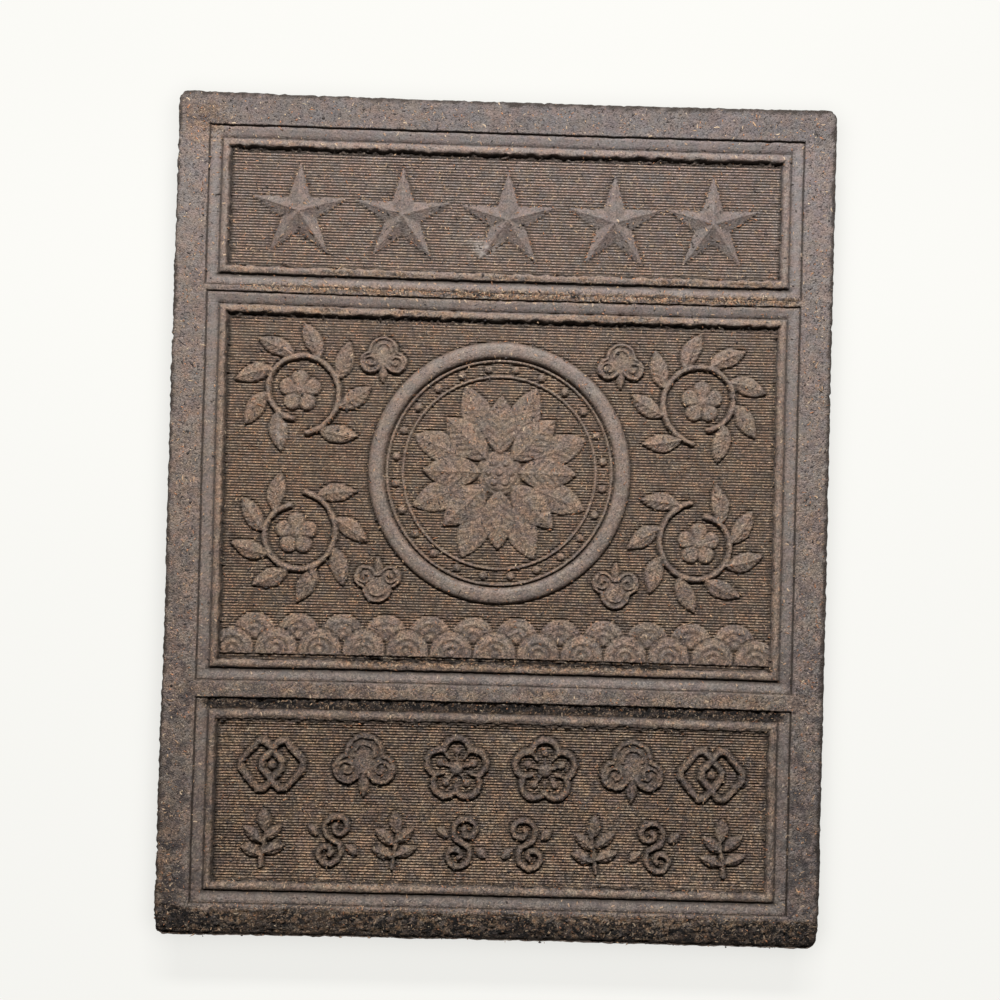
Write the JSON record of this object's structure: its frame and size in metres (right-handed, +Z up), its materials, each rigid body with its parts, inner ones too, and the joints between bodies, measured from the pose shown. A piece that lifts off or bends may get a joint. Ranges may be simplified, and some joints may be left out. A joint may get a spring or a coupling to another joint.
{
  "type": "pressed black tea brick",
  "caption": "Flat slab of pressed black tea with framed relief panels: a row of stars, a lotus medallion between flower scrolls, and rows of small ornaments.",
  "frame": {"origin": "centre of the flat underside", "axes": "+Y along the long side, towards the row of stars; +X to the right of the relief; +Z up, out of the relief face"},
  "size_m": [0.187, 0.2374, 0.022],
  "materials": {
    "pressed_tea": "dull pressed tea dust, grey-brown with orange and tan flecks"
  },
  "bodies": {
    "root": {"tea_brick": "pressed_tea"}
  },
  "joints": []
}
